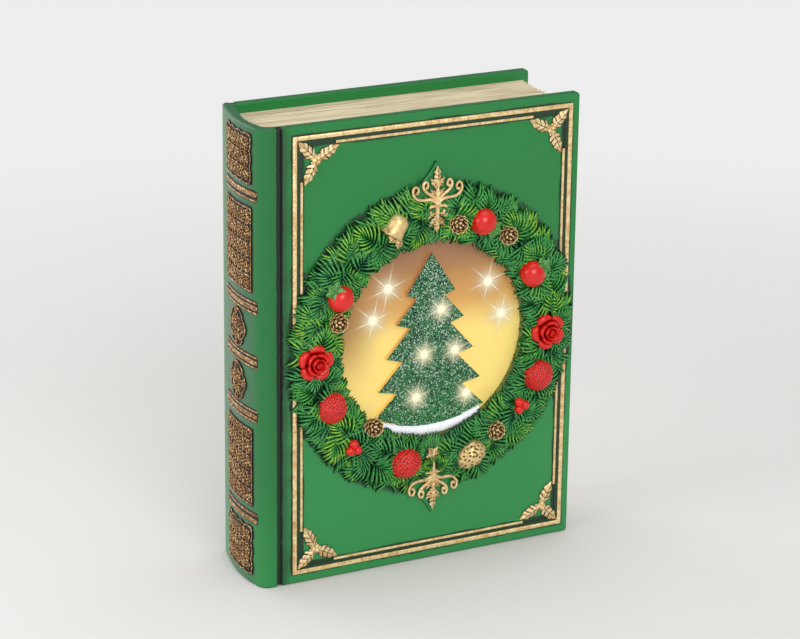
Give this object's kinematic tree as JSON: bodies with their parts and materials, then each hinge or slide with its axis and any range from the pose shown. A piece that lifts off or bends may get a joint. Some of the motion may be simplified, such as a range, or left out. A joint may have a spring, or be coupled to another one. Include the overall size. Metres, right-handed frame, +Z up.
{
  "type": "lit book ornament",
  "caption": "Upright resin book with a rounded spine, a fir wreath in relief round a lit window that holds a fir tree, and a battery box with a hinged door and a slide switch in its back.",
  "frame": {"origin": "below the middle of the whole object, on the surface that the book stands on", "axes": "+Z up along the book's height, +Y from the front board to the back board, +X from the spine to the fore edge"},
  "size_m": [0.1964, 0.0742, 0.26],
  "materials": {
    "green_resin": "green painted resin, semi-gloss, dark wash in the recesses",
    "page_paint": "cream painted resin with brown leaf lines",
    "gilt_paint": "gilt paint over resin relief",
    "antique_gold_paint": "antique gold paint brushed over dark resin",
    "fir_paint": "dark green resin, needles dry-brushed yellow-green",
    "red_gloss_paint": "glossy red paint over resin",
    "red_frosted_paint": "red paint over a pebbled surface",
    "bright_gold_paint": "satin gold paint over resin",
    "cone_paint": "brown resin with gold-brushed scale tips",
    "backdrop_plastic": "translucent plastic printed from brown down to pale yellow",
    "tree_glitter": "green plate with white and black glitter",
    "snow_paint": "white snow paint",
    "lamp_epoxy": "warm white lamp, clear epoxy",
    "lead_insulation": "insulated lead",
    "box_plastic": "black moulded plastic",
    "cell_can": "plain cell can",
    "contact_steel": "plated spring steel",
    "slider_plastic": "white moulded plastic",
    "circuit_board": "green circuit board with a switch body"
  },
  "bodies": {
    "casing": {"cover_casing": "green_resin", "page_block": "page_paint", "border_top": "gilt_paint", "border_bottom": "gilt_paint", "corner_holly_top_left": "gilt_paint", "corner_holly_top_right": "gilt_paint", "corner_holly_bottom_right": "gilt_paint", "corner_holly_bottom_left": "gilt_paint", "golden_bell": "bright_gold_paint", "apple_top": "red_gloss_paint", "apple_right": "red_gloss_paint", "apple_left": "red_gloss_paint", "rose_left": "red_gloss_paint", "rose_right": "red_gloss_paint", "frosted_fruit_left": "red_frosted_paint", "frosted_fruit_right": "red_frosted_paint", "frosted_fruit_bottom": "red_frosted_paint", "golden_nut": "bright_gold_paint", "pine_cone_1": "cone_paint", "pine_cone_2": "cone_paint", "pine_cone_3": "cone_paint", "pine_cone_4": "cone_paint", "pine_cone_5": "cone_paint", "holly_berries_left": "red_gloss_paint", "holly_berries_right": "red_gloss_paint", "fir_wreath": "fir_paint", "fleuron_top": "gilt_paint", "fleuron_bottom": "gilt_paint", "backdrop": "backdrop_plastic", "fir_tree": "tree_glitter", "snow_bank": "snow_paint", "lamp_sky_1": "lamp_epoxy", "lamp_sky_2": "lamp_epoxy", "lamp_sky_3": "lamp_epoxy", "lamp_sky_4": "lamp_epoxy", "lamp_tree_1": "lamp_epoxy", "lamp_tree_2": "lamp_epoxy", "lamp_tree_3": "lamp_epoxy", "lamp_tree_4": "lamp_epoxy", "lamp_tree_5": "lamp_epoxy", "spine_band_1": "antique_gold_paint", "spine_band_2": "antique_gold_paint", "spine_band_3": "antique_gold_paint", "spine_band_4": "antique_gold_paint", "spine_band_5": "antique_gold_paint", "spine_panel_1": "antique_gold_paint", "spine_panel_2": "antique_gold_paint", "spine_panel_3": "antique_gold_paint", "spine_panel_4": "antique_gold_paint", "spine_lozenge_upper": "antique_gold_paint", "spine_lozenge_lower": "antique_gold_paint", "battery_box": "box_plastic", "battery_upper": "cell_can", "battery_lower": "cell_can", "bridge_contact": "contact_steel", "spring_contact": "contact_steel", "switch_board": "circuit_board", "lamp_lead": "lead_insulation"},
    "battery_door": {"battery_door": "box_plastic"},
    "switch_slider": {"switch_slider": "slider_plastic"}
  },
  "joints": [
    {"name": "door_hinge", "type": "hinge", "parent": "casing", "child": "battery_door", "pos_m": [-0.005, 0.03585, 0.0764], "axis": [1, 0, 0], "range_deg": [0, 95]},
    {"name": "switch_slide", "type": "slide", "parent": "casing", "child": "switch_slider", "axis": [1, 0, 0], "range_m": [0, 0.004]}
  ]
}
